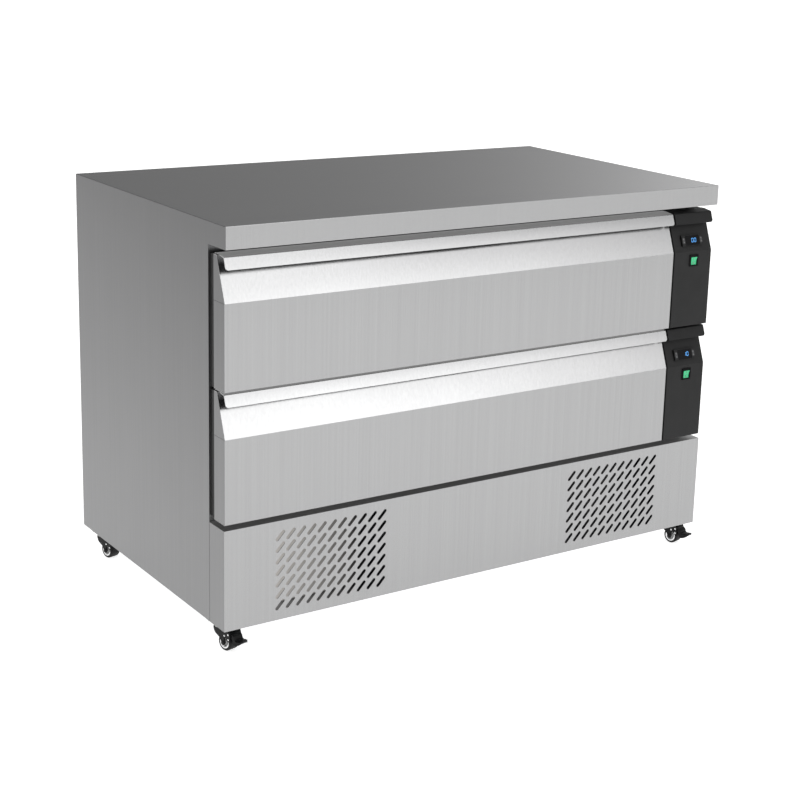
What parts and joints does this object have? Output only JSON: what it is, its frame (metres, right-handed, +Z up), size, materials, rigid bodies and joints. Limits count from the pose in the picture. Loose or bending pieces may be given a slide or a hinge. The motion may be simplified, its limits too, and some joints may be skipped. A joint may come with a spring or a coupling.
{
  "type": "refrigerated drawer unit",
  "caption": "Low refrigerated counter with stacked full-width insulated drawers, each beside its own control column, above a grilled machine base on braked castors.",
  "frame": {"origin": "on the floor, under the middle of the body's outline", "axes": "+Z up, the drawers open towards -Y, +X to the right seen from the front"},
  "size_m": [1.23, 0.7, 0.86],
  "materials": {
    "stainless": "brushed",
    "stainless_top": "brushed",
    "stainless_front": "fine vertical brushing",
    "galvanised": "galvanised",
    "zinc": "zinc plated",
    "foam": "rigid foam",
    "fins": "plain fins",
    "dark_metal": "satin black",
    "black_plastic": "matt",
    "key_rubber": "satin",
    "gasket_rubber": "matt",
    "green_lens": "lit",
    "tyre_rubber": "matt"
  },
  "bodies": {
    "root": {"worktop": "stainless_top", "side_panel_left": "stainless", "side_panel_right": "stainless", "back_panel": "stainless", "face_frame": "stainless", "cabinet_foam": "foam", "base_frame": "galvanised", "base_cover": "stainless_front", "fixed_runners": "stainless", "duct_panels": "stainless", "evaporators": "fins", "fan_motors": "dark_metal", "controllers": "black_plastic", "switch_housings": "black_plastic", "castor_plates": "zinc", "cable_gland": "black_plastic", "liner_upper": "stainless", "control_column_upper": "black_plastic", "liner_lower": "stainless", "control_column_lower": "black_plastic", "compressor_left": "dark_metal", "condenser_left": "fins", "compressor_right": "dark_metal", "condenser_right": "fins"},
    "drawer_upper": {"drawer_front_upper": "stainless_front", "drawer_foam_upper": "foam", "drawer_inner_panel_upper": "black_plastic", "drawer_gasket_upper": "gasket_rubber", "drawer_handle_upper": "stainless_front", "drawer_box_upper": "stainless", "drawer_runners_upper": "stainless"},
    "middle_runners_upper": {"middle_runners_upper": "stainless"},
    "rocker_upper": {"rocker_upper": "green_lens"},
    "key_left_upper": {"key_left_upper": "key_rubber"},
    "key_right_upper": {"key_right_upper": "key_rubber"},
    "evaporator_fan_upper": {"evaporator_fan_upper": "black_plastic"},
    "drawer_lower": {"drawer_front_lower": "stainless_front", "drawer_foam_lower": "foam", "drawer_inner_panel_lower": "black_plastic", "drawer_gasket_lower": "gasket_rubber", "drawer_handle_lower": "stainless_front", "drawer_box_lower": "stainless", "drawer_runners_lower": "stainless"},
    "middle_runners_lower": {"middle_runners_lower": "stainless"},
    "rocker_lower": {"rocker_lower": "green_lens"},
    "key_left_lower": {"key_left_lower": "key_rubber"},
    "key_right_lower": {"key_right_lower": "key_rubber"},
    "evaporator_fan_lower": {"evaporator_fan_lower": "black_plastic"},
    "condenser_fan_left": {"condenser_fan_left": "black_plastic"},
    "condenser_fan_right": {"condenser_fan_right": "black_plastic"},
    "castor_front_left": {"castor_fork_front_left": "black_plastic"},
    "wheel_front_left": {"castor_wheel_front_left": "tyre_rubber"},
    "pedal_front_left": {"brake_pedal_front_left": "black_plastic"},
    "castor_front_right": {"castor_fork_front_right": "black_plastic"},
    "wheel_front_right": {"castor_wheel_front_right": "tyre_rubber"},
    "pedal_front_right": {"brake_pedal_front_right": "black_plastic"},
    "castor_rear_left": {"castor_fork_rear_left": "black_plastic"},
    "wheel_rear_left": {"castor_wheel_rear_left": "tyre_rubber"},
    "castor_rear_right": {"castor_fork_rear_right": "black_plastic"},
    "wheel_rear_right": {"castor_wheel_rear_right": "tyre_rubber"}
  },
  "joints": [
    {"name": "drawer_upper_slide", "type": "slide", "parent": "root", "child": "drawer_upper", "axis": [0, -1, 0], "range_m": [0, 0.5]},
    {"name": "middle_runners_upper_slide", "type": "slide", "parent": "root", "child": "middle_runners_upper", "axis": [0, -1, 0], "range_m": [0, 0.25]},
    {"name": "rocker_upper_tilt", "type": "hinge", "parent": "root", "child": "rocker_upper", "pos_m": [0.5605, -0.336, 0.6923], "axis": [1, 0, 0], "range_deg": [-18, 0]},
    {"name": "key_left_upper_press", "type": "slide", "parent": "root", "child": "key_left_upper", "axis": [0, 0.9385, -0.3453], "range_m": [0, 0.0007], "stiffness_N_per_m": 400, "springref_m": -0.0003},
    {"name": "key_right_upper_press", "type": "slide", "parent": "root", "child": "key_right_upper", "axis": [0, 0.9385, -0.3453], "range_m": [0, 0.0007], "stiffness_N_per_m": 400, "springref_m": -0.0003},
    {"name": "evaporator_fan_upper_spin", "type": "hinge", "parent": "root", "child": "evaporator_fan_upper", "pos_m": [0.4762, 0.021, 0.7095], "axis": [1, 0, 0], "continuous": true},
    {"name": "drawer_lower_slide", "type": "slide", "parent": "root", "child": "drawer_lower", "axis": [0, -1, 0], "range_m": [0, 0.5]},
    {"name": "middle_runners_lower_slide", "type": "slide", "parent": "root", "child": "middle_runners_lower", "axis": [0, -1, 0], "range_m": [0, 0.25]},
    {"name": "rocker_lower_tilt", "type": "hinge", "parent": "root", "child": "rocker_lower", "pos_m": [0.5605, -0.336, 0.428], "axis": [1, 0, 0], "range_deg": [-18, 0]},
    {"name": "key_left_lower_press", "type": "slide", "parent": "root", "child": "key_left_lower", "axis": [0, 0.9385, -0.3453], "range_m": [0, 0.0007], "stiffness_N_per_m": 400, "springref_m": -0.0003},
    {"name": "key_right_lower_press", "type": "slide", "parent": "root", "child": "key_right_lower", "axis": [0, 0.9385, -0.3453], "range_m": [0, 0.0007], "stiffness_N_per_m": 400, "springref_m": -0.0003},
    {"name": "evaporator_fan_lower_spin", "type": "hinge", "parent": "root", "child": "evaporator_fan_lower", "pos_m": [0.4762, 0.021, 0.4452], "axis": [1, 0, 0], "continuous": true},
    {"name": "condenser_fan_left_spin", "type": "hinge", "parent": "root", "child": "condenser_fan_left", "pos_m": [-0.374, -0.2165, 0.1495], "axis": [0, 1, 0], "continuous": true},
    {"name": "condenser_fan_right_spin", "type": "hinge", "parent": "root", "child": "condenser_fan_right", "pos_m": [0.357, -0.2165, 0.1495], "axis": [0, 1, 0], "continuous": true},
    {"name": "castor_front_left_swivel", "type": "hinge", "parent": "root", "child": "castor_front_left", "pos_m": [-0.5885, -0.281, 0.055], "axis": [0, 0, 1], "continuous": true},
    {"name": "wheel_front_left_roll", "type": "hinge", "parent": "castor_front_left", "child": "wheel_front_left", "pos_m": [-0.58366, -0.30041, 0.018], "axis": [0.9703, 0.2419, 0], "continuous": true},
    {"name": "pedal_front_left_press", "type": "hinge", "parent": "castor_front_left", "child": "pedal_front_left", "pos_m": [-0.58003, -0.31496, 0.039], "axis": [0.9703, 0.2419, 0], "range_deg": [0, 12]},
    {"name": "castor_front_right_swivel", "type": "hinge", "parent": "root", "child": "castor_front_right", "pos_m": [0.5885, -0.281, 0.055], "axis": [0, 0, 1], "continuous": true},
    {"name": "wheel_front_right_roll", "type": "hinge", "parent": "castor_front_right", "child": "wheel_front_right", "pos_m": [0.59334, -0.30041, 0.018], "axis": [0.9703, 0.2419, 0], "continuous": true},
    {"name": "pedal_front_right_press", "type": "hinge", "parent": "castor_front_right", "child": "pedal_front_right", "pos_m": [0.59697, -0.31496, 0.039], "axis": [0.9703, 0.2419, 0], "range_deg": [0, 12]},
    {"name": "castor_rear_left_swivel", "type": "hinge", "parent": "root", "child": "castor_rear_left", "pos_m": [-0.5885, 0.293, 0.055], "axis": [0, 0, 1], "continuous": true},
    {"name": "wheel_rear_left_roll", "type": "hinge", "parent": "castor_rear_left", "child": "wheel_rear_left", "pos_m": [-0.58366, 0.27359, 0.018], "axis": [0.9703, 0.2419, 0], "continuous": true},
    {"name": "castor_rear_right_swivel", "type": "hinge", "parent": "root", "child": "castor_rear_right", "pos_m": [0.5885, 0.293, 0.055], "axis": [0, 0, 1], "continuous": true},
    {"name": "wheel_rear_right_roll", "type": "hinge", "parent": "castor_rear_right", "child": "wheel_rear_right", "pos_m": [0.59334, 0.27359, 0.018], "axis": [0.9703, 0.2419, 0], "continuous": true}
  ],
  "couplings": [
    {"joint": "middle_runners_upper_slide", "follows": "drawer_upper_slide", "ratio": 0.5},
    {"joint": "middle_runners_lower_slide", "follows": "drawer_lower_slide", "ratio": 0.5}
  ]
}
